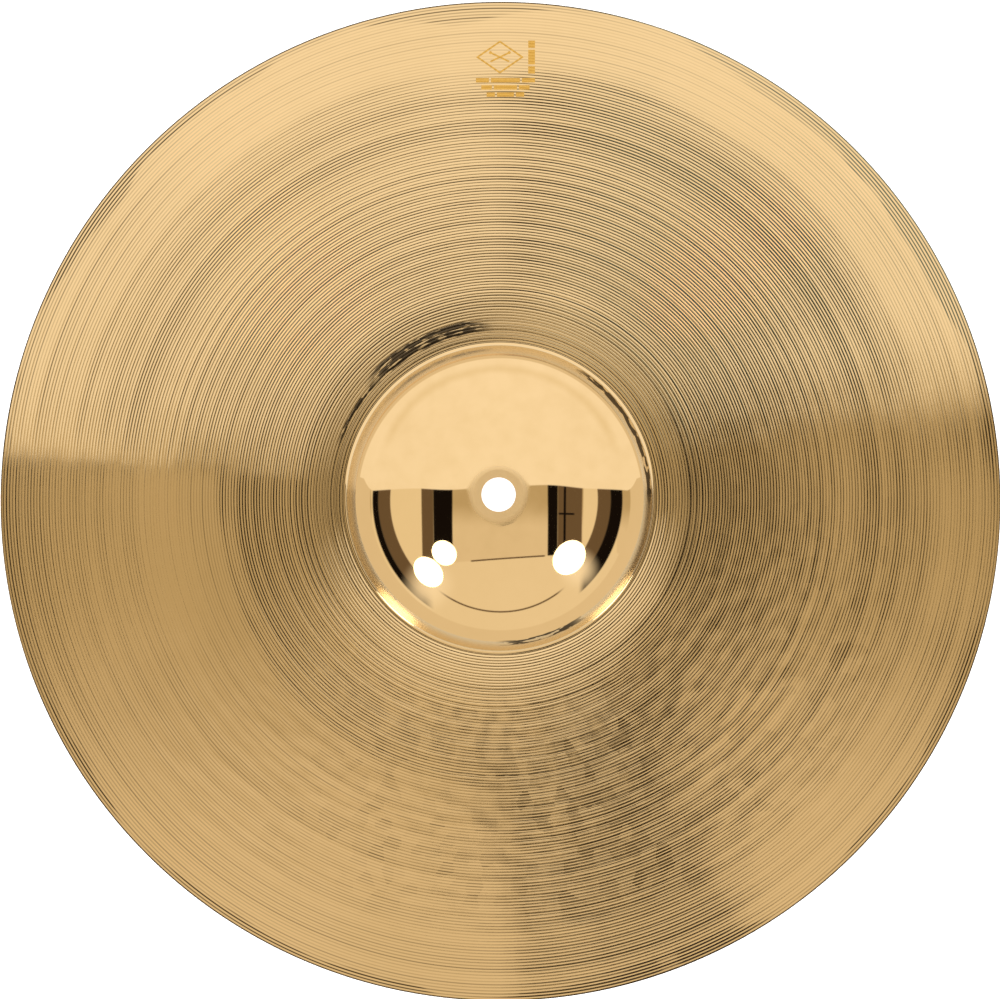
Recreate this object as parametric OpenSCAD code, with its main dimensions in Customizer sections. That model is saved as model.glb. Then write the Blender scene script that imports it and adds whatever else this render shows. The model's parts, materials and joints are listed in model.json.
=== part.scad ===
// Crash cymbal: one dished plate of cast bronze with a cup, called the bell, in the middle.
// The plate lies on its rim. The origin is on the hole's axis, in the plane that the rim
// rests on, with +Z up through the bell and +Y towards the printed mark. Millimetres.

/* [Plate] */
// Diameter over the rim
diameter = 355.6; // [300:0.1:520]
// Metal thickness at the rim
rim_thickness = 0.85; // [0.6:0.05:1.4]
// Metal thickness of the bell, from the shoulder round it up to the hole
bell_thickness = 1.15; // [0.8:0.05:2]
// Size of the broken corners around the rim
rim_break = 0.2; // [0.1:0.05:0.2]
// Width of the narrow flat under the rim, which the cymbal rests on
rim_flat = 0.3; // [0.1:0.05:0.4]

/* [Bow] */
// Slope of the bow where its long arc starts, outside the shoulder, in degrees
start_angle = 3.5; // [2:0.5:5]
// Slope of the bow at the rim, in degrees
rim_angle = 8.5; // [7:0.5:13]

/* [Bell] */
// Diameter of the bell at its foot, along the bottom of the shallow moat round it
bell_diameter = 110.4; // [90:0.2:150]
// Steepest slope of the bell's side, in degrees
flank_angle = 51; // [36:1:56]
// Radius of the hollow fillet at the bell's foot, on top
fillet_radius = 1.6; // [1.4:0.2:8]
// How steeply the metal climbs out of the moat, in degrees
moat_angle = 7; // [2:0.5:10]
// Radius of the rounded shoulder between the moat and the bow
shoulder_radius = 93; // [60:1:140]

/* [Centre hole] */
// Diameter of the hole for the stand's sleeve
hole_diameter = 12; // [10:0.1:16]
// Width of the flat land round the hole, where the felts press
land_width = 2.8; // [2:0.1:5]
// Size of the broken corners round the hole
hole_break = 0.15; // [0.1:0.05:0.3]

/* [Printed mark] */
// Thickness of the ink film
ink_thickness = 0.03; // [0.02:0.01:0.1]
// Distance from the rim to the emblem's centre
emblem_inset = 20.2; // [16:0.1:30]
// Width of the lozenge that frames the emblem
emblem_width = 17; // [12:0.5:20]
// Height of the lozenge
emblem_height = 12; // [8:0.5:14]
// Width of the printed lines
line_width = 0.6; // [0.3:0.05:0.8]
// Height of each row of dashes
dash_height = 1.6; // [1.2:0.1:2]
// Distance from one row of dashes to the next
row_pitch = 2.6; // [2.4:0.1:3.4]
// Length of the row of dashes next to the emblem
row_length = 21; // [16:0.5:24]
// Each next row is shorter than the one before it by this much
row_step = 3.8; // [1:0.1:5]
// Number of rows of dashes below the emblem
row_count = 3; // [1:1:3]
// Width of the column of dashes beside the emblem
column_width = 2.4; // [1.5:0.1:3]
// Clear space between the emblem and the dashes
print_gap = 1.6; // [0.8:0.1:2]

/* [Hidden] */
$fn = 360;

// Number of straight steps that each round stretch of the section is drawn with
dome_steps = 24;
fillet_steps = 9;
shoulder_steps = 6;
bow_steps = 24;

rim_r = diameter / 2;
edge_r = rim_r - rim_break;
foot_r = bell_diameter / 2;
hole_r = hole_diameter / 2;
land_r = hole_r + land_width;

// Four arcs that meet smoothly: the bell's dome, the hollow fillet at its foot, the shoulder
// that rounds over from the moat, and the bow
flank_r = foot_r - fillet_radius * sin(flank_angle);
dome_radius = flank_r / sin(flank_angle);
land_angle = asin(land_r / dome_radius);
climb_r = foot_r + fillet_radius * sin(moat_angle);
start_r = climb_r + shoulder_radius * (sin(moat_angle) + sin(start_angle));
bow_radius = (edge_r - start_r) / (sin(rim_angle) - sin(start_angle));

// Heights of the upper surface
edge_z = rim_thickness * cos(rim_angle) - rim_flat * tan(rim_angle);
start_z = edge_z + bow_radius * (cos(start_angle) - cos(rim_angle));
climb_z = start_z + shoulder_radius * (cos(moat_angle) - cos(start_angle));
foot_z = climb_z - fillet_radius * (1 - cos(moat_angle));
flank_z = foot_z + fillet_radius * (1 - cos(flank_angle));
dome_centre_z = flank_z - dome_radius * cos(flank_angle);
land_z = dome_centre_z + dome_radius * cos(land_angle);

// Where the print lies: the emblem on the centre line, a column of dashes to its right,
// and rows of dashes below, under the middle of those two
emblem_y = rim_r - emblem_inset;
column_x = emblem_width / 2 + print_gap + column_width / 2;
rows_x = (column_x + column_width / 2 - emblem_width / 2) / 2;
first_row_y = emblem_y - emblem_height / 2 - print_gap - dash_height / 2;

// Points of the upper surface as [radius, height], each for the slope a there
function dome_point(a) = [dome_radius * sin(a), dome_centre_z + dome_radius * cos(a)];
function fillet_point(a) =
    [foot_r - fillet_radius * sin(a), foot_z + fillet_radius * (1 - cos(a))];
function shoulder_point(a) =
    [start_r - shoulder_radius * (sin(start_angle) - sin(a)),
     start_z + shoulder_radius * (cos(a) - cos(start_angle))];
function bow_point(a) =
    [start_r + bow_radius * (sin(a) - sin(start_angle)),
     start_z - bow_radius * (cos(start_angle) - cos(a))];

// A point moved square to the surface, up for a positive distance
function off_surface(point, a, distance) = point + distance * [sin(a), cos(a)];
function mix(from, to, share) = from + (to - from) * share;
function steps(from, to, count) = [for (i = [0:count]) mix(from, to, i / count)];

dome_slopes = steps(land_angle, flank_angle, dome_steps);
fillet_slopes = steps(flank_angle, -moat_angle, fillet_steps);
shoulder_slopes = steps(-moat_angle, start_angle, shoulder_steps);
bow_slopes = steps(start_angle, rim_angle, bow_steps);

function bow_share(a) = (sin(a) - sin(start_angle)) / (sin(rim_angle) - sin(start_angle));
function bow_thickness(a) = mix(bell_thickness, rim_thickness, bow_share(a));

// Without its first value, which the stretch before it already has
function after_first(list) = [for (i = [1:len(list) - 1]) list[i]];
function backwards(list) = [for (i = [len(list) - 1:-1:0]) list[i]];

// The section's two long sides, from the land outwards
upper_side = concat(
    [for (a = dome_slopes) dome_point(a)],
    [for (a = after_first(fillet_slopes)) fillet_point(a)],
    [for (a = after_first(shoulder_slopes)) shoulder_point(a)],
    [for (a = after_first(bow_slopes)) bow_point(a)]
);
lower_side = concat(
    [for (a = after_first(dome_slopes)) off_surface(dome_point(a), a, -bell_thickness)],
    [for (a = after_first(fillet_slopes)) off_surface(fillet_point(a), a, -bell_thickness)],
    [for (a = after_first(shoulder_slopes))
        off_surface(shoulder_point(a), a, -bell_thickness)],
    [for (a = after_first(bow_slopes)) if (a < rim_angle)
        off_surface(bow_point(a), a, -bow_thickness(a))]
);
rim_side = [
    [rim_r, edge_z - rim_break],
    [rim_r, rim_break],
    [edge_r, 0],
    [edge_r - rim_thickness * sin(rim_angle) - rim_flat, 0]
];
hole_side = [
    [land_r - bell_thickness * tan(land_angle / 2), land_z - bell_thickness],
    [hole_r + hole_break, land_z - bell_thickness],
    [hole_r, land_z - bell_thickness + hole_break],
    [hole_r, land_z - hole_break],
    [hole_r + hole_break, land_z]
];

module cymbal() {
    color("#d9ae68")
    rotate_extrude()
    polygon(concat(upper_side, rim_side, backwards(lower_side), hole_side));
}

// A film of ink all over the bow
module ink_film() {
    rotate_extrude()
    polygon(concat(
        [for (a = bow_slopes) bow_point(a)],
        backwards([for (a = bow_slopes) off_surface(bow_point(a), a, ink_thickness)])
    ));
}

// What is printed is the part of the film that lies under a flat outline
module printed() {
    color("#dba03a")
    intersection() {
        ink_film();
        linear_extrude(height = start_z + 1) children();
    }
}

// A lozenge as wide and as high as given, less an even margin all round
module lozenge(width, height, margin) {
    shrink = 1 - 2 * margin * norm([width, height]) / (width * height);
    polygon(shrink / 2 * [[width, 0], [0, height], [-width, 0], [0, -height]]);
}

// A thin stick with a round bead on its end
module stick(length) {
    square([length, line_width], center = true);
    translate([length / 2, 0]) circle(r = line_width * 0.9);
}

module ink_emblem() {
    stick_tilt = 26;
    printed()
    translate([0, emblem_y]) {
        difference() {
            lozenge(emblem_width, emblem_height, 0);
            lozenge(emblem_width, emblem_height, line_width);
        }
        for (tilt = [stick_tilt, 180 - stick_tilt])
            rotate(tilt) stick(emblem_height * 0.62);
    }
}

// A row of dashes with equal spaces: a long one in the middle and a short one at each end
module dash_row(length, width) {
    space = dash_height * 0.45;
    end_dash = length * 0.22;
    square([length - 2 * space - 2 * end_dash, width], center = true);
    for (side = [-1, 1])
        translate([side * (length - end_dash) / 2, 0])
        square([end_dash, width], center = true);
}

module ink_side_dashes() {
    printed()
    translate([column_x, emblem_y])
    rotate(90)
    dash_row(emblem_height, column_width);
}

module ink_rows() {
    printed()
    for (i = [0:row_count - 1])
        translate([rows_x, first_row_y - i * row_pitch])
        dash_row(row_length - i * row_step, dash_height);
}

cymbal();
ink_emblem();
ink_side_dashes();
ink_rows();
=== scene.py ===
# %% [markdown]
# # A crash cymbal
# A cymbal is one thin plate of cast bronze, hammered into a shallow bow and turned on a lathe.
# Its middle is pressed up into a cup, the bell, which is polished like a mirror. The only other
# thing on it is a small mark printed in ink. So this lesson is about three things: a turned
# shape with fine grooves, a metal that is nothing but reflections, and a studio that gives the
# metal something to reflect.

# %% Load the frame
import json
import math

import bpy
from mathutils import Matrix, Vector


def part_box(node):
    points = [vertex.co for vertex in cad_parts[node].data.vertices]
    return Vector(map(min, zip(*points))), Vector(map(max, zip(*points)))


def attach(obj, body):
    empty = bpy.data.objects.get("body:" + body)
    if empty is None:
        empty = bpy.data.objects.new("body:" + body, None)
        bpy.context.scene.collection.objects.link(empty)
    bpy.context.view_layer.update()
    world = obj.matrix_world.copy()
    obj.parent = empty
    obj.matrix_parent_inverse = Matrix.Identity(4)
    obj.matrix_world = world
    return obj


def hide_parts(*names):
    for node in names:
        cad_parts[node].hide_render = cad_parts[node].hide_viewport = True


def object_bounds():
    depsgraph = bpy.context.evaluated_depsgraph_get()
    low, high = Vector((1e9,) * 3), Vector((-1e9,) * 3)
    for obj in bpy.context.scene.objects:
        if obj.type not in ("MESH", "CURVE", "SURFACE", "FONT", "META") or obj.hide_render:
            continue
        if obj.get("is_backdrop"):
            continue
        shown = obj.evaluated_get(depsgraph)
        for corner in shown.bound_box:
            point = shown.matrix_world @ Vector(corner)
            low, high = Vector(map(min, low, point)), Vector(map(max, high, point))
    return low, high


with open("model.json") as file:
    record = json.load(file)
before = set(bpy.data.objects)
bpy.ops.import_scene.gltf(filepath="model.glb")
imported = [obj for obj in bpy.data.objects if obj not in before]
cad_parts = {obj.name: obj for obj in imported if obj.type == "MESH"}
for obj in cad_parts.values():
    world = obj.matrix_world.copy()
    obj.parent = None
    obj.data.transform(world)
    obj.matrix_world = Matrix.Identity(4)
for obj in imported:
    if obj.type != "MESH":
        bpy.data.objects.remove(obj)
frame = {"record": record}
cad_low, cad_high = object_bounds()
mounts = {mount["name"]: mount for mount in frame["record"]["mounts"]}
print("CAD box", [round(v, 5) for v in (*cad_low, *cad_high)])

# %% [markdown]
# ## The sizes
# What the frame knows is read from it: the rim's radius, the hole and the height of the flat
# land round the hole. The rest are the design's own sizes, in metres. The section of the plate
# is four arcs that meet smoothly: the bell's dome, the hollow fillet at its foot, the shoulder
# that rounds over from the shallow moat there, and the bow.

# %% Sizes of the section
MM = 0.001
rim_radius = min(cad_high.x, cad_high.y, -cad_low.x, -cad_low.y)
hole_radius = mounts["centre_hole"]["dims"]["r_mm"] * MM
land_height = cad_high.z
land_radius = hole_radius + 2.8 * MM
bell_radius = 55.2 * MM
fillet_radius = 1.6 * MM
shoulder_radius = 93 * MM
bell_wall = 1.15 * MM
rim_wall = 0.85 * MM
rim_break = 0.2 * MM
rim_flat = 0.3 * MM
hole_break = 0.15 * MM
moat_slope = math.radians(-7)
start_slope = math.radians(3.5)
flank_slope = math.radians(51)
rim_slope = math.radians(8.5)

edge_radius = rim_radius - rim_break
flank_radius = bell_radius - fillet_radius * math.sin(flank_slope)
dome_arc = flank_radius / math.sin(flank_slope)
climb_radius = bell_radius - fillet_radius * math.sin(moat_slope)
start_radius = climb_radius + shoulder_radius * (math.sin(start_slope) - math.sin(moat_slope))
bow_arc = (edge_radius - start_radius) / (math.sin(rim_slope) - math.sin(start_slope))
bow_centre = start_radius - bow_arc * math.sin(start_slope)
edge_height = rim_wall * math.cos(rim_slope) - rim_flat * math.tan(rim_slope)
bow_top = edge_height + bow_arc * (1 - math.cos(rim_slope))
shoulder_centre = start_radius - shoulder_radius * math.sin(start_slope)
shoulder_top = bow_top - (bow_arc - shoulder_radius) * (1 - math.cos(start_slope))
foot_height = shoulder_top - (shoulder_radius + fillet_radius) * (1 - math.cos(moat_slope))
land_slope = math.asin(land_radius / dome_arc)
dome_centre = land_height - dome_arc * math.cos(land_slope)
print(f"bell {1000 * (land_height - foot_height):.1f} mm high, dome arc {1000 * dome_arc:.1f} mm")

# %% [markdown]
# ## Node trees from expressions
# Geometry Nodes and shader nodes share one idea: a socket's value flows to other sockets. Long
# formulas are hard to read as boxes and wires, so this small class wraps a socket and lets
# Python's own operators add the Math nodes. Any other node comes from its one method, node().

# %% A wire between nodes
class Wire:
    """One output of a node tree. Operators on wires and numbers add Math nodes."""

    def __init__(self, tree, socket=None):
        self.tree, self.socket = tree, socket

    def node(self, kind, settings=None, values=None, output=0):
        """A new node of that kind: its settings first, then its sockets' values or links."""
        made = self.tree.nodes.new(kind)
        for name, setting in (settings or {}).items():
            if name == "stops":
                fill_ramp(made.color_ramp, setting)
            else:
                setattr(made, name, setting)
        for name, value in (values or {}).items():
            if isinstance(value, Wire):
                self.tree.links.new(value.socket, made.inputs[name])
            else:
                made.inputs[name].default_value = value
        return Wire(self.tree, made.outputs[output] if made.outputs else None)

    def math(self, operation, *others):
        return self.node("ShaderNodeMath", {"operation": operation},
                         dict(enumerate((self, *others))))

    def __add__(self, other):
        return self.math("ADD", other)

    def __sub__(self, other):
        return self.math("SUBTRACT", other)

    def __rsub__(self, other):
        return self * -1 + other

    def __mul__(self, other):
        return self.math("MULTIPLY", other)

    def __truediv__(self, other):
        return self.math("DIVIDE", other)

    __radd__ = __add__
    __rmul__ = __mul__


# %% Small helpers for wires
def fill_ramp(ramp, stops):
    """Gives a colour ramp its stops: pairs of a place from 0 to 1 and a grey or a colour."""
    for number, (place, shade) in enumerate(stops):
        stop = ramp.elements[number] if number < 2 else ramp.elements.new(place)
        stop.position = place
        stop.color = (*shade, 1) if isinstance(shade, tuple) else (shade, shade, shade, 1)


def ramp(x, start, end):
    """0 at start, 1 at end and beyond, and a smooth rise between. start may be above end."""
    return x.node("ShaderNodeMapRange", {"interpolation_type": "SMOOTHSTEP"},
                  {"Value": x, "From Min": start, "From Max": end})


def parts(whole):
    """The x, y and z of a vector."""
    x = whole.node("ShaderNodeSeparateXYZ", {}, {0: whole})
    return [Wire(whole.tree, out) for out in x.socket.node.outputs]


def vector(x, y, z=0.0):
    return x.node("ShaderNodeCombineXYZ", {}, {"X": x, "Y": y, "Z": z})


def distance(x, y):
    return (x * x + y * y).math("SQRT")


def mix(start, end, share):
    return start + (end - start) * share


def paint(colour, mask, new):
    """A colour with a new one laid over it where mask is 1. Both may be wires."""
    return mask.node("ShaderNodeMix", {"data_type": "RGBA"}, {0: mask, 6: colour, 7: new}, 2)


def noise(place, scale, detail=2.0, dimensions="3D"):
    """Soft random values around 0.5."""
    return place.node("ShaderNodeTexNoise", {"noise_dimensions": dimensions},
                      {"Vector": place, "Scale": scale, "Detail": detail})


def sector(turn, middle, half, soft):
    """1 inside a sector round the axis and 0 outside. Its middle, its half width and how soft
    its sides are come in degrees."""
    middle, half, soft = [math.radians(angle) for angle in (middle, half, soft)]
    outside = min(half + soft, math.pi) + 0.001
    return ramp((turn - middle).math("COSINE"), math.cos(outside), math.cos(half - soft))


# %% [markdown]
# ## A tree that makes a mesh
# Each Geometry Nodes tree has named inputs, so that its sizes can be changed in the modifier
# without opening it. The modifier keeps them under the sockets' identifiers, not their names,
# and they are set before the object is first evaluated. The result is then copied into a plain
# mesh, because a finished piece should not depend on a live tree.

# %% Start and run a tree
def start_tree(name, inputs):
    """A new tree and a dictionary of wires from its inputs, which are names and values."""
    tree = bpy.data.node_groups.new(name, "GeometryNodeTree")
    tree.interface.new_socket("Geometry", in_out="OUTPUT", socket_type="NodeSocketGeometry")
    for title, value in inputs.items():
        kind = "NodeSocketInt" if isinstance(value, int) else "NodeSocketFloat"
        socket = tree.interface.new_socket(title, in_out="INPUT", socket_type=kind)
        socket.default_value = value
    entry = tree.nodes.new("NodeGroupInput")
    return tree, {title: Wire(tree, entry.outputs[title]) for title in inputs}


def finish_tree(tree, geometry, material):
    """Ends the tree in Realize Instances and Set Material."""
    real = geometry.node("GeometryNodeRealizeInstances", {}, {"Geometry": geometry})
    done = real.node("GeometryNodeSetMaterial", {}, {"Geometry": real, "Material": material})
    exit_node = tree.nodes.new("NodeGroupOutput")
    tree.links.new(done.socket, exit_node.inputs[0])


def grow(name, tree, values):
    """Runs a tree with these input values and returns its result as a plain object."""
    seed = bpy.data.objects.new(name + "_seed", bpy.data.meshes.new(name + "_seed"))
    bpy.context.scene.collection.objects.link(seed)
    modifier = seed.modifiers.new("Nodes", "NODES")
    modifier.node_group = tree
    for item in tree.interface.items_tree:
        if item.in_out == "INPUT" and item.name in values:
            modifier[item.identifier] = values[item.name]
    graph = bpy.context.evaluated_depsgraph_get()
    mesh = bpy.data.meshes.new_from_object(seed.evaluated_get(graph), depsgraph=graph)
    bpy.data.objects.remove(seed)
    mesh.name = name
    piece = bpy.data.objects.new(name, mesh)
    bpy.context.scene.collection.objects.link(piece)
    print(f"{name}: {len(mesh.vertices)} points, {len(mesh.polygons)} faces")
    return piece


# %% [markdown]
# ## Materials start here, as empty shells
# A tree ends in Set Material, so the materials exist before the meshes. Their nodes come later.

# %% Empty materials
def new_material(name):
    """A material with only an output node, and a wire to start its tree from."""
    material = bpy.data.materials.new(name)
    material.use_nodes = True
    material.node_tree.nodes.clear()
    return material, Wire(material.node_tree)


def set_surface(start, shader):
    output = start.tree.nodes.new("ShaderNodeOutputMaterial")
    start.tree.links.new(shader.socket, output.inputs["Surface"])


bronze, bronze_start = new_material("lathed_bronze")
ink, ink_start = new_material("ochre_ink")

# %% [markdown]
# ## The lathed surface of the bow
# The turner's tool cuts one shallow hollow after another, a little wider apart towards the rim,
# and leaves a sharp ridge between them. Their number and how fast their pitch grows give every
# ridge its radius, and the formula turned round tells which groove a point lies in. The hammer's
# dents are still there under the grooves, as soft waves of a tenth of a millimetre or so.
# The same height is used by the metal and by the ink, so that the ink lies on it everywhere.

# %% Height of the lathed bow
GROOVES = 118
PITCH_GROWTH = math.log(1.13)
bow_inputs = {
    "Groove depth": 0.1 * MM,
    "Dent depth": 0.2 * MM,
    "Dent size": 6.5 * MM,
}


def ridge_radius(count):
    """The radius of a ridge from its count, which is 0 where the fillet ends."""
    grown = (count * (PITCH_GROWTH / GROOVES)).math("EXPONENT")
    return mix(climb_radius, edge_radius, (grown - 1) * (1 / (math.exp(PITCH_GROWTH) - 1)))


def groove_count(radius):
    """How many grooves lie between the fillet and this radius."""
    share = (radius - climb_radius) * (1 / (edge_radius - climb_radius))
    grown = share * (math.exp(PITCH_GROWTH) - 1) + 1
    return grown.math("LOGARITHM", math.e) * (GROOVES / PITCH_GROWTH)


def zigzag(count):
    """0 on each whole count, where a ridge is, and 1 halfway between two."""
    return 1 - (count.math("FRACT") * 2 - 1).math("ABSOLUTE")


def arc_height(radius, centre, top, arc):
    out = radius - centre
    return top - out * out / ((arc * arc - out * out).math("SQRT") + arc)


def bow_height(radius):
    """Height of the smooth surface that the ridges' tops lie on: the shoulder, then the bow."""
    shoulder = arc_height(radius, shoulder_centre, shoulder_top, shoulder_radius)
    bow = arc_height(radius.math("MAXIMUM", start_radius), bow_centre, bow_top, bow_arc)
    return mix(shoulder, bow, radius.math("GREATER_THAN", start_radius))


# %% [markdown]
# The plate under the tool is never quite even, so some zones are cut deeper than others, and
# some get stronger painted shade along their ridges. Each row of the table gives the middle's
# azimuth, the half width and the softness of the sides in degrees, then the inner and outer radius
# and their softness in millimetres, then a factor on the depth and one on the painted ridge shade.
# The last row is the whole rim.

# %% Zones of the lathed bow
DEPTH = 6
DARKNESS = 7
ZONES = [
    (51, 37, 5, 74, 153, 12, 1.2, 2.0),
    (125, 40, 14, 60, 153, 9, 1.0, 1.05),
    (223, 49, 3, 100, 200, 6, 0.4, 0.75),
    (188, 14, 8, 112, 200, 6, 1.0, 0.15),
    (278, 5, 1.5, 92, 172, 6, 1.3, 1.5),
    (291, 8, 1.5, 76, 200, 6, 1.3, 1.7),
    (345, 42, 12, 66, 153, 8, 0.5, 0.9),
    (272, 62, 10, 50, 82, 12, 1.0, 0.2),
    (92, 42, 12, 153, 200, 9, 0.45, 0.45),
    (152, 16, 9, 156, 200, 12, 0.7, 1.1),
    (25, 20, 9, 152, 200, 8, 0.5, 0.9),
    (354, 9, 6, 152, 200, 8, 0.3, 0.15),
    (322, 20, 5, 152, 200, 8, 0.5, 0.6),
    (237, 34, 9, 150, 200, 12, 0.9, 1.1),
    (110, 179, 1, 174.4, 200, 0.8, 1.0, 3.2),
]


def zone_factor(radius, turn, column):
    """How much deeper the tool cut here than elsewhere, for column DEPTH, or how much stronger
    the painted shade along its ridges is, for column DARKNESS. The zones' rings wander a little."""
    wander = noise(vector(turn.math("COSINE"), turn.math("SINE")), 2.6, dimensions="2D")
    place = radius + (wander - 0.5) * (16 * MM)
    factor = turn * 0 + 1
    for zone in ZONES:
        inner, outer, blur = [size * MM for size in zone[3:6]]
        ring = ramp(place, inner - blur, inner + blur) * ramp(place, outer + blur, outer - blur)
        factor = factor * mix(1, zone[column], sector(turn, *zone[:3]) * ring)
    return factor


# %% Depth of each groove, and the hammer's dents
def groove_depth(count, radius, turn, sizes):
    """Each groove has a depth of its own, from the same chance wherever it is asked for."""
    number = (count + 0.001).math("FLOOR")
    chance = number.node("ShaderNodeTexWhiteNoise", {"noise_dimensions": "1D"}, {"W": number})
    return sizes["Groove depth"] * (chance * 0.7 + 0.65) * zone_factor(radius, turn, DEPTH)


def dents(x, y, sizes):
    """How high the hammer's marks leave a point. The smith works in rings, mostly on one side."""
    radius, turn = distance(x, y), y.math("ARCTAN2", x)
    place = vector(radius / sizes["Dent size"], turn * 0.115 / sizes["Dent size"])
    cells = place.node("ShaderNodeTexVoronoi", {"voronoi_dimensions": "2D", "feature": "SMOOTH_F1"},
                       {"Vector": place, "Scale": 1.0, "Smoothness": 0.4, "Randomness": 0.6})
    waves = noise(vector(x, y), 34.0, 1.0, "2D")
    fade = ramp(radius, 66 * MM, 80 * MM) * ramp(radius, 168 * MM, 148 * MM)
    side = ramp((turn - math.radians(285)).math("COSINE"), 0.05, 0.65) * 0.85 + 0.15
    return ((cells - 0.5) * side + (waves - 0.5) * 0.8) * fade * sizes["Dent depth"]


# %% [markdown]
# ## The plate
# A lathe makes the real shape by turning, and here each stretch of the section does the same: a
# flat grid is bent round the axis, with its rows as rings. Formulas give each ring's radius and
# height, so there is a ring on every ridge and in every hollow and none is wasted elsewhere. The
# stretches go once round the section, from the hole over the top, round the rim and back below,
# which makes every face point outwards. Merging their common rings closes the shell.

# %% One stretch of the section
plate_inputs = {"Segments": 224, "Under groove depth": 0.05 * MM, "Bell wave": 0.05 * MM}
plate_inputs |= bow_inputs
plate_tree, plate = start_tree("turned_plate", plate_inputs)


def turned(rings, shape, ridge):
    """A grid of rings round the axis. shape gives the radius and the height from the share of
    the way along the stretch and the turn round it, and ridge says which rings are sharp."""
    grid = plate["Segments"].node("GeometryNodeMeshGrid", {},
                                  {"Size X": 1.0, "Size Y": 1.0, "Vertices X": rings,
                                   "Vertices Y": plate["Segments"] + 1})
    across, along, _ = parts(grid.node("GeometryNodeInputPosition"))
    share = across + 0.5
    turn = along * (2 * math.pi)
    marked = grid.node("GeometryNodeStoreNamedAttribute", {"data_type": "BOOLEAN"},
                       {"Geometry": grid, "Name": "ridge", "Value": ridge(share)})
    radius, height = shape(share, turn)
    place = vector(turn.math("COSINE") * radius, turn.math("SINE") * radius, height)
    return grid.node("GeometryNodeSetPosition", {}, {"Geometry": marked, "Position": place})


def cone(start, end):
    """A plain stretch between two points of the section, with both its edges sharp."""
    return turned(2, lambda share, turn: (mix(start[0], end[0], share), mix(start[1], end[1], share)),
                  lambda share: share * 0 + 1)


def arc(rings, middle, radius, start, end, ridge):
    """A round stretch from one slope of the surface to another. A hollow one has radius < 0."""
    def shape(share, turn):
        slope = mix(start, end, share)
        return slope.math("SINE") * radius + middle[0], slope.math("COSINE") * radius + middle[1]
    return turned(rings, shape, ridge)


# %% The lathed stretches and the sharp rings
UNDER_GROOVES = 48
SHARE_END = 0.001
dome_middle = (0.0, dome_centre)
fillet_middle = (bell_radius, foot_height + fillet_radius)
under_start = edge_radius - rim_flat


def lathed_top(share, turn):
    count = share * GROOVES
    radius = ridge_radius(count)
    return radius, bow_height(radius) - zigzag(count) * groove_depth(count, radius, turn, plate)


def lathed_under(share, turn):
    over = mix(under_start, climb_radius, share)
    on_bow = over.math("GREATER_THAN", start_radius)
    sine = mix((over - shoulder_centre) * (1 / shoulder_radius),
               (over - bow_centre) * (1 / bow_arc), on_bow)
    cosine = (1 - sine * sine).math("SQRT")
    thinned = ((over - start_radius) * (1 / (edge_radius - start_radius))).math("MAXIMUM", 0.0)
    wall = mix(bell_wall, rim_wall, thinned)
    wall = wall - zigzag(share * UNDER_GROOVES) * plate["Under groove depth"]
    return over - wall * sine, (bow_height(over) - wall * cosine).math("MAXIMUM", 0.0)


def on_whole(count):
    """1 on a ridge's ring, 0 on a hollow's."""
    return zigzag(count).math("LESS_THAN", 0.5)


def first_ring(share):
    return share.math("LESS_THAN", SHARE_END)


def last_ring(share):
    return share.math("GREATER_THAN", 1 - SHARE_END)


# %% All the stretches, in order round the section
rim_corner = edge_radius - rim_wall * math.sin(rim_slope) - rim_flat
land_under = land_height - bell_wall
land_inner = land_radius - bell_wall * math.tan(land_slope / 2)
stretches = [
    cone((hole_radius, land_height - hole_break), (hole_radius + hole_break, land_height)),
    cone((hole_radius + hole_break, land_height), (land_radius, land_height)),
    arc(44, dome_middle, dome_arc, land_slope, flank_slope, first_ring),
    arc(14, fillet_middle, -fillet_radius, flank_slope, moat_slope, last_ring),
    turned(2 * GROOVES + 1, lathed_top, lambda share: on_whole(share * GROOVES)),
    cone((edge_radius, edge_height), (rim_radius, edge_height - rim_break)),
    cone((rim_radius, edge_height - rim_break), (rim_radius, rim_break)),
    cone((rim_radius, rim_break), (edge_radius, 0.0)),
    cone((edge_radius, 0.0), (rim_corner, 0.0)),
    turned(2 * UNDER_GROOVES + 1, lathed_under, lambda share: on_whole(share * UNDER_GROOVES)),
    arc(9, fillet_middle, -fillet_radius - bell_wall, moat_slope, flank_slope, first_ring),
    arc(22, dome_middle, dome_arc - bell_wall, flank_slope, land_slope, last_ring),
    cone((land_inner, land_under), (hole_radius + hole_break, land_under)),
    cone((hole_radius + hole_break, land_under), (hole_radius, land_under + hole_break)),
    cone((hole_radius, land_under + hole_break), (hole_radius, land_height - hole_break)),
]

# %% [markdown]
# ## Closing and hammering the shell
# The stretches are joined and their common rings merged. Then every point is moved up or down by
# the hammer's dents, those above and those below alike, so that the wall keeps its thickness.
# The bell gets a slow, faint wave, because a real one is pressed and polished by hand. Last, the
# edges that lie along ridges are made sharp and all others smooth: with its hollows smooth and its
# ridges sharp, a groove of only two rows of faces shades like a round one.

# %% Close, hammer and shade
MERGE_DISTANCE = 0.002 * MM


def weld(tree, pieces):
    """Joins pieces of a mesh and merges the points that they share."""
    joined = Wire(tree, tree.nodes.new("GeometryNodeJoinGeometry").outputs[0])
    for piece in pieces:
        tree.links.new(piece.socket, joined.socket.node.inputs[0])
    return joined.node("GeometryNodeMergeByDistance", {},
                       {"Geometry": joined, "Distance": MERGE_DISTANCE})


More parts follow.
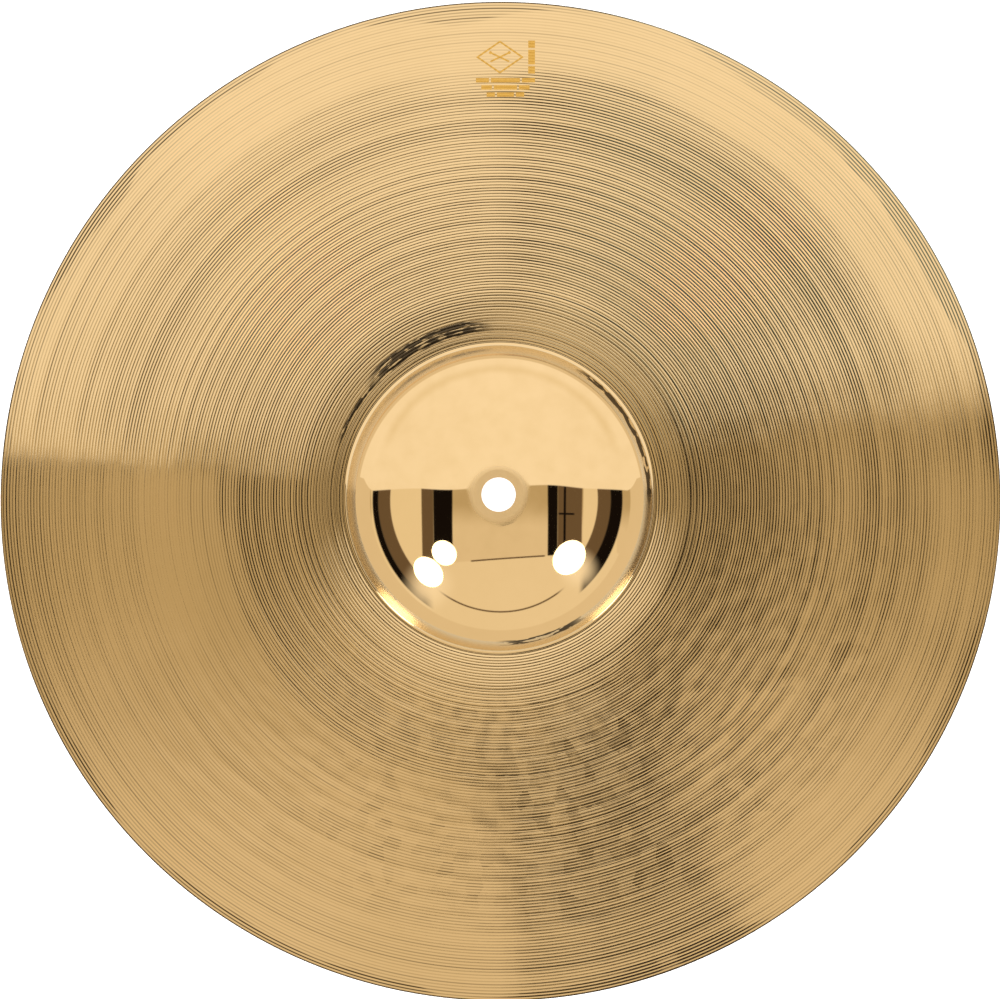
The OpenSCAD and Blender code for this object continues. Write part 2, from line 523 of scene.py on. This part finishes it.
closed = weld(plate_tree, reversed(stretches))
x, y, _ = parts(closed.node("GeometryNodeInputPosition"))
radius = distance(x, y)
wave = noise(vector(x, y), 40.0, 0.0, "2D")
bell_only = ramp(radius, 10 * MM, 20 * MM) * ramp(radius, 55 * MM, 44 * MM)
lift = dents(x, y, plate) + (wave - 0.5) * bell_only * plate["Bell wave"]
hammered = closed.node("GeometryNodeSetPosition", {},
                       {"Geometry": closed, "Offset": vector(lift * 0, lift * 0, lift)})
smooth = hammered.node("GeometryNodeSetShadeSmooth", {}, {"Geometry": hammered})
ridges = smooth.node("GeometryNodeInputNamedAttribute", {"data_type": "BOOLEAN"}, {"Name": "ridge"})
shaded = smooth.node("GeometryNodeSetShadeSmooth", {"domain": "EDGE"},
                     {"Geometry": smooth, "Selection": ridges, "Shade Smooth": False})
finish_tree(plate_tree, shaded, bronze)
turned_cymbal = grow("turned_cymbal", plate_tree, {})
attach(turned_cymbal, "root")
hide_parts("cymbal")

# %% [markdown]
# ## The ink
# A screen print is a film of ink that follows every groove it lies on. Its dashes are one small
# grid, placed on points whose row and place in the row come from their number. The emblem's lines
# are grids too, each stretched between four corners. Then all points take the height of the
# lathed metal below them, and a Solidify modifier gives the film its thickness.

# %% Drape a flat print over the bow
FILM = 0.03 * MM
FILM_LIFT = 0.1 * FILM


def drape(flat, sizes):
    """Lays a flat mesh on the lathed bow, a hair above it."""
    x, y, _ = parts(flat.node("GeometryNodeInputPosition"))
    radius = distance(x, y)
    count = groove_count(radius)
    depth = groove_depth(count, radius, y.math("ARCTAN2", x), sizes)
    height = bow_height(radius) - zigzag(count) * depth + dents(x, y, sizes)
    place = vector(x, y, height + FILM_LIFT)
    return flat.node("GeometryNodeSetPosition", {}, {"Geometry": flat, "Position": place})


def print_piece(name, tree, values, node):
    """Runs an ink tree, gives the film its thickness and lets it stand for its CAD node."""
    piece = grow(name, tree, values)
    film = piece.modifiers.new("Film", "SOLIDIFY")
    film.thickness = FILM - FILM_LIFT
    film.offset = 1
    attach(piece, "root")
    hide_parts(node)


# %% Rows of dashes
DASH_WIDTH = 1.6 * MM
row_inputs = {"Rows": 3, "Row length": 21 * MM, "Row step": 3.8 * MM, "Row pitch": 2.6 * MM,
              "Dash width": DASH_WIDTH, "Space": 0.72 * MM, "End share": 0.22,
              "Start X": 0.0, "Start Y": 0.0, "Upright": 0.0}
rows_tree, rows = start_tree("printed_rows", row_inputs | bow_inputs)
number = rows["Rows"].node("GeometryNodeInputIndex")
row = (number / 3).math("FLOOR")
side = number - row * 3 - 1
length = rows["Row length"] - row * rows["Row step"]
end_dash = length * rows["End share"]
middle_dash = length - rows["Space"] * 2 - end_dash * 2
dash = mix(middle_dash, end_dash, side.math("ABSOLUTE"))
along = side * (length - end_dash) * 0.5
down = row * rows["Row pitch"] * -1
upright, level = rows["Upright"], 1 - rows["Upright"]
spot = vector(rows["Start X"] + along * level - down * upright,
              rows["Start Y"] + down * level + along * upright)
points = spot.node("GeometryNodeMeshLine", {}, {"Count": rows["Rows"] * 3})
points = points.node("GeometryNodeSetPosition", {}, {"Geometry": points, "Position": spot})
cell_grid = points.node("GeometryNodeMeshGrid", {},
                        {"Size X": 1.0, "Size Y": 1.0, "Vertices X": 48, "Vertices Y": 12})
stretched = vector(dash * level + rows["Dash width"] * upright,
                   rows["Dash width"] * level + dash * upright, 1.0)
dashes = points.node("GeometryNodeInstanceOnPoints", {},
                     {"Points": points, "Instance": cell_grid, "Scale": stretched})
dashes = dashes.node("GeometryNodeRealizeInstances", {}, {"Geometry": dashes})
finish_tree(rows_tree, drape(dashes, rows), ink)

# %% The rows and the column
rows_low, rows_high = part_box("ink_rows")
column_low, column_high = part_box("ink_side_dashes")
print_piece(
    "printed_rows", rows_tree,
    {"Row length": rows_high.x - rows_low.x, "Dash width": DASH_WIDTH,
     "Start X": (rows_low.x + rows_high.x) / 2, "Start Y": rows_high.y - DASH_WIDTH / 2},
    "ink_rows")
print_piece(
    "printed_column", rows_tree,
    {"Rows": 1, "Row length": column_high.y - column_low.y,
     "Dash width": column_high.x - column_low.x,
     "Start X": (column_low.x + column_high.x) / 2,
     "Start Y": (column_low.y + column_high.y) / 2, "Upright": 1.0},
    "ink_side_dashes")

# %% [markdown]
# ## The emblem
# A plain lozenge frames two crossed drumsticks. Its four sides meet in mitred corners, so each is
# a strip between two outer and two inner corners. The second stick is printed in two halves that
# stop at the first one, because two films on one spot would flicker.

# %% The emblem's strips and beads
emblem_low, emblem_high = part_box("ink_emblem")
emblem_inputs = {"Width": emblem_high.x - emblem_low.x, "Height": emblem_high.y - emblem_low.y,
                 "Line": 0.6 * MM, "Centre X": (emblem_low.x + emblem_high.x) / 2,
                 "Centre Y": (emblem_low.y + emblem_high.y) / 2}
emblem_tree, emblem = start_tree("printed_emblem", emblem_inputs | bow_inputs)
STICK_TILT = math.radians(26)
stick_reach = emblem["Height"] * 0.31
half_line = emblem["Line"] * 0.5
bead = emblem["Line"] * 0.9


def strip(first, second, third, fourth, long_cells, cross_cells):
    """A grid stretched between four corners, which are pairs of x and y. It runs from the edge
    first-fourth to the edge second-third."""
    grid = half_line.node("GeometryNodeMeshGrid", {},
                          {"Size X": 1.0, "Size Y": 1.0, "Vertices X": long_cells + 1,
                           "Vertices Y": cross_cells + 1})
    u, v, _ = parts(grid.node("GeometryNodeInputPosition"))
    u, v = u + 0.5, v + 0.5
    place = [mix(mix(a, b, u), mix(d, c, u), v)
             for a, b, c, d in zip(first, second, third, fourth)]
    return grid.node("GeometryNodeSetPosition", {},
                     {"Geometry": grid, "Position": vector(*place)})


def stick(start, end, tilt):
    """A bar along a tilted line, between two corners at its start and two at its end. Each is how
    far along the line the lower and the upper corner lie."""
    def corner(along, side):
        return (along * math.cos(tilt) - side * math.sin(tilt),
                along * math.sin(tilt) + side * math.cos(tilt))
    return strip(corner(start[0], half_line * -1), corner(end[0], half_line * -1),
                 corner(end[1], half_line), corner(start[1], half_line), 28, 3)


def bead_on(tilt):
    """The round tip of a stick."""
    grid = half_line.node("GeometryNodeMeshGrid", {},
                          {"Size X": 1.0, "Size Y": 1.0, "Vertices X": 5, "Vertices Y": 25})
    u, v, _ = parts(grid.node("GeometryNodeInputPosition"))
    out, turn = (u + 0.5) * bead, v * (2 * math.pi)
    place = vector(turn.math("COSINE") * out + stick_reach * math.cos(tilt),
                   turn.math("SINE") * out + stick_reach * math.sin(tilt))
    return grid.node("GeometryNodeSetPosition", {}, {"Geometry": grid, "Position": place})


# %% The emblem's strokes, welded and draped
half_width, half_height = emblem["Width"] * 0.5, emblem["Height"] * 0.5
diagonal = distance(emblem["Width"], emblem["Height"])
shrink = 1 - 2 * emblem["Line"] * diagonal / (emblem["Width"] * emblem["Height"])
nil = half_line * 0
outer = [(half_width, nil), (nil, half_height), (half_width * -1, nil), (nil, half_height * -1)]
inner = [(a * shrink, b * shrink) for a, b in outer]
strokes = [strip(outer[i], outer[i - 3], inner[i - 3], inner[i], 40, 3) for i in range(4)]

tip = stick_reach - (bead * bead - half_line * half_line).math("SQRT")
tail = stick_reach * -1
strokes.append(stick((tail, tail), (tip, tip), STICK_TILT))
# Where the second stick's lower and upper edges meet the near edge of the first
crossing = [half_line * ((1 + side * math.cos(2 * STICK_TILT)) / math.sin(2 * STICK_TILT))
            for side in (-1, 1)]
other = math.pi - STICK_TILT
strokes.append(stick(crossing, (tip, tip), other))
strokes.append(stick((tail, tail), (crossing[1] * -1, crossing[0] * -1), other))
strokes += [bead_on(STICK_TILT), bead_on(other)]

welded = weld(emblem_tree, strokes)
moved = welded.node("GeometryNodeSetPosition", {},
                    {"Geometry": welded, "Offset": vector(emblem["Centre X"], emblem["Centre Y"])})
finish_tree(emblem_tree, drape(moved, emblem), ink)
print_piece("printed_emblem", emblem_tree, {}, "ink_emblem")

# %% [markdown]
# ## Bronze
# Polished bronze has no colour of its own to show, only tinted reflections, so its look comes
# from the metal's tint and from how smooth each zone is: the bell is buffed to a mirror, the
# grooves are a little rougher where the tool's edge chattered, and the underside is plain. Fine
# tool lines are too small for the mesh, so a Bump node draws them as rings.

# %% Tint of the bare metal
UNDERSIDE = (0.62, 0.40, 0.17, 1)
place = bronze_start.node("ShaderNodeTexCoord", {}, {}, "Object")
x, y, _ = parts(place)
radius, turn = distance(x, y), y.math("ARCTAN2", x)
facing = parts(place.node("ShaderNodeNewGeometry", {}, {}, "Normal"))[2]
below = ramp(facing, 0.1, -0.1)
above = 1 - below
lathed = ramp(radius, climb_radius - 0.5 * MM, climb_radius + 0.5 * MM)
cloud = noise(place, 14.0, 5.0)
speckle = noise(place, 240.0, 3.0)
tint = place.node("ShaderNodeValToRGB", {"stops": [(0.25, (0.85, 0.60, 0.285)),
                                                   (0.75, (0.90, 0.64, 0.315))]},
                  {"Fac": cloud + (speckle - 0.5) * 0.25})
tint = paint(tint, below * 0.35, UNDERSIDE)

# %% [markdown]
# Each ridge gets a thin dark line of painted shade, which stands in for the dark reflections of its
# sharp edge. It is stronger in some grooves and zones, and comes and goes. Over the hammer's marks
# the painted lines fade and darken in short blocks, for the dents' mottled reflections.

# %% Painted shade along the ridges
RIDGE_SHADE_STRENGTH = 0.42
RIM_SHADE_STRENGTH = 0.55
BROWN_LINE = (0.055, 0.034, 0.012, 1)
GREEN_LINE = (0.11, 0.125, 0.075, 1)
count = groove_count(radius)
number = (count + 0.5).math("FLOOR")
chance = place.node("ShaderNodeTexWhiteNoise", {"noise_dimensions": "1D"}, {"W": number})
coming = noise(vector(x * 9, y * 9, number * 0.73), 1.0)
strength = (chance * chance * 0.9 + 0.15 + coming) * zone_factor(radius, turn, DARKNESS)
strength = strength * RIDGE_SHADE_STRENGTH
# Painted shade in short blocks over the hammer's marks, for the dents' mottled reflections
block = place.node("ShaderNodeTexVoronoi", {"voronoi_dimensions": "2D"},
                   {"Vector": vector(radius * (1 / (5.2 * MM)), turn * 26.0), "Scale": 1.0,
                    "Randomness": 0.7}, "Color")
block = parts(block)[0]
marked = ramp((turn - math.radians(300)).math("COSINE"), 0.2, 0.7)
marked = marked * ramp(radius, 66 * MM, 82 * MM) * ramp(radius, 160 * MM, 140 * MM)
strength = strength * mix(1, block * block * 2.4 + 0.3, marked * 0.4)
# Painted shade: a thin dark line along each ridge, for the dark reflections of its sharp edge
line = ramp(zigzag(count), 0.62, 0.18) * strength * lathed * above
# Painted shade: a dark band on the rim's last half millimetre, for the rounded edge's dark reflection
painted_rim_shade = ramp(radius, edge_radius - 0.5 * MM, edge_radius) * RIM_SHADE_STRENGTH
line = (line + painted_rim_shade).math("MINIMUM", 0.93)
greenish = ramp((turn - math.radians(47)).math("COSINE"), 0.78, 0.95)
tint = paint(tint, line, paint(BROWN_LINE, greenish, GREEN_LINE))

# %% [markdown]
# The bell's steep foot mirrors the bow. Gold seen twice turns orange, so a paler tint is painted on
# the foot as a painted reflection that cancels it. The foot and the moat also show each other the
# dark lens overhead, and these reflections are painted into the tint as broken dark streaks.

# %% The bell's foot
PALE_FOOT_REFLECTION = (0.80, 0.65, 0.40, 1)
STREAK_REFLECTION = (0.04, 0.03, 0.02, 1)
# The middle's azimuth and the half width in degrees, the radius and half width in millimetres
STREAKS = [(28, 29, 53.0, 0.9), (288, 15, 51.5, 0.9), (116, 20, 61.5, 2.6), (148, 10, 60.0, 0.8)]
steep = ramp(radius, 50.7 * MM, 51.2 * MM) * ramp(radius, 54.6 * MM, 54.0 * MM) * above
# Painted reflection: the steep foot's tint is painted paler, against the orange of gold seen twice
tint = paint(tint, steep, PALE_FOOT_REFLECTION)
breaks = noise(vector(radius * 900, turn * 9), 1.0, dimensions="2D")
streak = turn * 0
for middle, half, at, wide in STREAKS:
    off = (radius - at * MM + (breaks - 0.5) * wide * MM).math("ABSOLUTE")
    mark = sector(turn, middle, half, 5) * ramp(off, wide * MM, wide * 0.7 * MM)
    streak = streak.math("MAXIMUM", mark)
streak = streak * ramp(breaks, 0.38, 0.46) * above
# Painted reflection: the dark lens overhead, seen in the foot and the moat, painted as broken streaks
tint = paint(tint, streak * 0.92, STREAK_REFLECTION)

# %% Roughness, fine tool lines and the shader
TOOL_PITCH = 0.25 * MM
SPIRAL_PITCH = 0.5 * MM
near_hole = ramp(radius, 12 * MM, 8.6 * MM)
rough = mix(0.03, 0.07, lathed) + (speckle - 0.5) * 0.03 * lathed + below * 0.14
rough = rough + near_hole * 0.4 + steep * 0.14
fine = place.node("ShaderNodeTexNoise", {"noise_dimensions": "1D"},
                  {"W": radius * (1 / TOOL_PITCH), "Detail": 2.0})
turning = (radius * (2 * math.pi / SPIRAL_PITCH)).math("SINE")
lines = fine * (lathed * 0.9 + 0.03) + turning * near_hole * 0.6
bump = place.node("ShaderNodeBump", {}, {"Strength": 0.5, "Distance": 0.01 * MM, "Height": lines})
metal = place.node("ShaderNodeBsdfPrincipled", {},
                   {"Base Color": tint, "Metallic": 1.0, "Roughness": rough, "Normal": bump})
set_surface(bronze_start, metal)

# %% [markdown]
# ## Ink
# The print is a thin ochre lacquer. It hides the metal's mirror, and wears a little along the
# ridges, where the metal tints it.

# %% The ink
place = ink_start.node("ShaderNodeTexCoord", {}, {}, "Object")
x, y, _ = parts(place)
worn = zigzag(groove_count(distance(x, y)))
blotch = noise(place, 900.0, 3.0)
shade = place.node("ShaderNodeValToRGB", {"stops": [(0.2, (0.62, 0.35, 0.06)),
                                                    (0.8, (0.50, 0.26, 0.03))]},
                   {"Fac": worn * 0.6 + blotch * 0.4})
film = place.node("ShaderNodeBsdfPrincipled", {},
                  {"Base Color": shade, "Metallic": 0.35, "Roughness": blotch * 0.2 + 0.35})
set_surface(ink_start, film)

# %% [markdown]
# ## A studio tent
# A mirror shows its surroundings, so they are built as the shell of a studio's light tent: a
# white sheet over the back half, beige cloth in front, and dark gaps where the cloth ends. On a
# ball, every direction appears at one spot, and the spot's distance from the middle is the sine
# of half the angle from straight up. The tent is painted in that flat map of the ball, which
# makes its sheets as easy to place as stripes on paper. Only reflections see it: the camera, the
# floor and the shadows don't.

# %% The tent's flat map
TENT_RADIUS = 2.4
tent, tent_start = new_material("tent_cloth")


def glow(start, colour, strength=1.0):
    return start.node("ShaderNodeEmission", {}, {"Color": colour, "Strength": strength})


place = tent_start.node("ShaderNodeTexCoord", {}, {}, "Object")
ray = place.node("ShaderNodeVectorMath", {"operation": "NORMALIZE"}, {0: place})
x, y, z = parts(ray)
ball = ((z + 1) * 2).math("SQRT")
east, north = x / ball, y / ball
out = distance(east, north)


def between(value, low, high, soft=0.006):
    """1 from low to high and 0 outside, with edges that are soft by this much."""
    return ramp(value, low - soft, low + soft) * ramp(value, high + soft, high - soft)


# %% The tent's cloth, strips and curtains
DIM = (0.57, 0.49, 0.36, 1)
PALE = (0.84, 0.77, 0.69, 1)
CARD = (0.92, 0.865, 0.80, 1)
CREAM = (0.93, 0.87, 0.78, 1)
BROWN = (0.16, 0.118, 0.085, 1)
BLACK = (0.008, 0.006, 0.006, 1)
WHITE = (1.09, 1.07, 1.10, 1)
folds = noise(vector(east, north), 9.0)
cloth = paint(DIM, ramp(north, 0.0, -0.16) + (folds - 0.5) * 0.5, PALE)
for low, high, colour in (
    (-0.660, -0.400, CREAM), (-0.400, -0.340, BROWN), (-0.340, -0.243, BLACK),
    (0.244, 0.295, BLACK), (0.295, 0.420, BROWN), (0.426, 0.600, CREAM),
):
    cloth = paint(cloth, between(east, low, high, 0.004), colour)
shelf = between(north, -0.075, -0.065, 0.003) * between(east, 0.30, 0.38)
post = between(east, 0.325, 0.337, 0.003) * between(north, -0.30, 0.08)
cloth = paint(cloth, shelf.math("MAXIMUM", post), BLACK)
# A white card in front, whose edges show as thin lines
card_edge = north + 0.305 - east * 0.07
cloth = paint(cloth, ramp(card_edge, 0.004, -0.004), CARD)
cloth = paint(cloth, between(card_edge, -0.004, 0.004, 0.002) * between(east, -0.15, 0.23), BROWN)
# Two dark curtains run down both sides of the tent, round its middle
left_curtain = ramp(east, -0.34, -0.40)
right_curtain = ramp(east, 0.40, 0.44)
cloth = paint(cloth, left_curtain * between(out, 0.562, 0.627, 0.004), BROWN)
cloth = paint(cloth, left_curtain * between(out, 0.624, 0.654, 0.004), BLACK)
cloth = paint(cloth, right_curtain * between(out, 0.500, 0.570, 0.004), BROWN)
cloth = paint(cloth, right_curtain * between(out, 0.566, 0.626, 0.004), BLACK)
seam = distance(east, north + 0.065)
cloth = paint(cloth, between(seam, 0.503, 0.511, 0.003) * between(east, -0.31, 0.31, 0.03)
              * ramp(north, -0.30, -0.36), BROWN)
# The lamps light the cloth near them
for glow_east, glow_north, spread in ((-0.37, -0.43, 0.16), (0.40, -0.35, 0.13)):
    away = distance(east - glow_east, north - glow_north)
    cloth = paint(cloth, ramp(away, spread, 0.02) * 0.9, WHITE)
cloth = paint(cloth, ramp(out, 0.662, 0.670), PALE)

# %% The white sheet and the camera
# The white sheet's near edge hangs a little askew, and its far edge ends on the table
aside = east.math("ABSOLUTE")
corner = (aside - 0.645).math("MAXIMUM", 0.0)
edge = east * ramp(aside, 0.45, 0.20) * 0.055 + 0.062 + corner * corner * 26
away = place.node("ShaderNodeVectorMath", {"operation": "LENGTH"}, {0: place}, "Value")
sheet = ramp(north - edge, -0.004, 0.004) * ramp(away, 0.26, 0.32)
sheet = sheet * ramp(out - north * 0.5, 0.700, 0.690)
crease = between(distance(east * 0.9, north - 0.13), 0.525, 0.560, 0.02) * ramp(north, 0.2, 0.4)
white = paint(WHITE, crease * 0.6 + (folds - 0.4) * 0.9, CREAM)
cloth = paint(cloth, sheet, white)
# The camera and its arm, near overhead
camera_dark = ramp(distance(east - 0.034, north - 0.019), 0.062, 0.052)
arm_out = north * -0.956 + east * 0.292
arm_side = (north * 0.292 + east * 0.956).math("ABSOLUTE")
arm = between(arm_out, 0.0, 0.130) * ramp(arm_side - arm_out * 0.25, 0.006, -0.006)
clamp = ramp(distance(east - 0.030, north + 0.052), 0.030, 0.020)
cloth = paint(cloth, camera_dark.math("MAXIMUM", arm).math("MAXIMUM", clamp), BLACK)
set_surface(tent_start, glow(tent_start, cloth))


# %% Meshes of the studio
def circle(radius, height, count):
    """Points on a circle round the axis."""
    angles = [2 * math.pi * number / count for number in range(count)]
    return [(radius * math.cos(angle), radius * math.sin(angle), height) for angle in angles]


def stage_mesh(name, material, points, faces):
    """A piece of the studio, which isn't part of the object."""
    mesh = bpy.data.meshes.new(name)
    mesh.from_pydata(points, [], faces)
    mesh.materials.append(material)
    made = bpy.data.objects.new(name, mesh)
    bpy.context.scene.collection.objects.link(made)
    made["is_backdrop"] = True
    return made


def band(start, turns):
    """Faces between two circles of points, the first of which begins at point number start."""
    pairs = [(start + turn, start + (turn + 1) % turns) for turn in range(turns)]
    return [(first, first + turns, second + turns, second) for first, second in pairs]


def shell_points(turns, rows):
    """Points of a half ball, row by row from the floor up, and its faces, looking inwards."""
    points, faces = [], []
    for row in range(rows + 1):
        rise = math.pi / 2 * row / rows * 0.999
        points += circle(TENT_RADIUS * math.cos(rise), TENT_RADIUS * math.sin(rise), turns)
    for row in range(rows):
        faces += band(row * turns, turns)
    faces.append([rows * turns + turn for turn in range(turns)])
    return points, faces


# %% The tent's shell and table
TURNS = 96
TABLE_HEIGHT = 0.05 * MM
tent_shell = stage_mesh("tent_shell", tent, *shell_points(TURNS, 32))
table_points = circle(rim_radius + 4 * MM, TABLE_HEIGHT, TURNS)
table_points += circle(TENT_RADIUS, TABLE_HEIGHT, TURNS)
tent_table = stage_mesh("tent_table", tent, table_points, band(0, TURNS))
for cloth_piece in (tent_shell, tent_table):
    cloth_piece.visible_camera = False
    cloth_piece.visible_diffuse = False
    cloth_piece.visible_shadow = False
    cloth_piece.visible_transmission = False
tent.cycles.emission_sampling = "NONE"

# %% Lamps
LAMP_DISTANCE = 0.92 * TENT_RADIUS


def lamp(name, east, north, size, radiance):
    """A round lamp at a spot of the tent's flat map."""
    half = math.asin(math.hypot(east, north))
    angle = math.atan2(north, east)
    spot = LAMP_DISTANCE * Vector((math.sin(2 * half) * math.cos(angle),
                                   math.sin(2 * half) * math.sin(angle), math.cos(2 * half)))
    data = bpy.data.lights.new(name, "AREA")
    data.shape = "DISK"
    data.size = size
    data.energy = radiance * math.pi * math.pi * size * size / 4
    made = bpy.data.objects.new(name, data)
    made.location = spot
    made.rotation_euler = (-spot).to_track_quat("-Z", "Y").to_euler()
    made.visible_camera = False
    bpy.context.scene.collection.objects.link(made)


lamp("lamp_left", -0.288, -0.272, 0.56, 4.0)
lamp("lamp_far_left", -0.372, -0.366, 0.66, 4.0)
lamp("lamp_right", 0.357, -0.296, 0.76, 4.0)

# %% [markdown]
# ## Floor, backdrop and camera
# The floor is pale and lit from above, and glows a little, so that it is white right up to the
# rim. A small glowing disc under the hole keeps the hole white too. The camera looks almost
# straight down through a long lens.

# %% Floor
floor_white, floor_start = new_material("pale_floor")
floor_shader = floor_start.node("ShaderNodeBsdfPrincipled", {},
                                {"Base Color": (0.8, 0.8, 0.8, 1), "Roughness": 0.9,
                                 "Emission Color": (1, 1, 1, 1), "Emission Strength": 0.72})
set_surface(floor_start, floor_shader)
FLOOR_HALF = 20.0
floor = stage_mesh("pale_floor", floor_white,
                   [(-FLOOR_HALF, -FLOOR_HALF, 0), (FLOOR_HALF, -FLOOR_HALF, 0),
                    (FLOOR_HALF, FLOOR_HALF, 0), (-FLOOR_HALF, FLOOR_HALF, 0)], [(0, 1, 2, 3)])
floor.visible_glossy = False
hole_light, hole_start = new_material("light_under_hole")
set_surface(hole_start, glow(hole_start, (1, 1, 1, 1), 1.3))
disc = circle(3 * hole_radius, 0.1 * MM, 48)
stage_mesh("light_under_hole", hole_light, disc, [list(range(len(disc)))])

# %% Light from above
top = bpy.data.lights.new("top_light", "AREA")
top.shape = "DISK"
top.size = 3.0
top.energy = 60.0
top_light = bpy.data.objects.new("top_light", top)
top_light.location = (0, 0, 3.5)
top_light.visible_camera = False
top_light.visible_glossy = False
bpy.context.scene.collection.objects.link(top_light)

world = bpy.data.worlds.new("studio_air")
world.use_nodes = True
world.node_tree.nodes["Background"].inputs["Color"].default_value = (0.93, 0.93, 0.93, 1)
world.node_tree.nodes["Background"].inputs["Strength"].default_value = 1.0
bpy.context.scene.world = world
bpy.context.scene.view_settings.view_transform = "Standard"

# %% Camera
DISTANCE = 2.2
SENSOR_WIDTH = 36.0
LEAN_BACK = math.radians(2.7)
LEAN_RIGHT = math.radians(0.77)
camera_data = bpy.data.cameras.new("camera")
camera = bpy.data.objects.new("camera", camera_data)
bpy.context.scene.collection.objects.link(camera)
camera.location = (DISTANCE * math.tan(LEAN_RIGHT), -DISTANCE * math.tan(LEAN_BACK), DISTANCE)
camera_data.sensor_width = SENSOR_WIDTH
camera_data.lens = SENSOR_WIDTH * math.hypot(*camera.location) / (2 * rim_radius)
camera.rotation_euler = (math.atan(math.tan(LEAN_BACK) * math.cos(LEAN_RIGHT)), LEAN_RIGHT, 0)
camera_data.clip_end = 50.0
bpy.context.scene.camera = camera

# %% Sizes and finish
low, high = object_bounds()
print("visual box", [round(v, 5) for v in (*low, *high)])
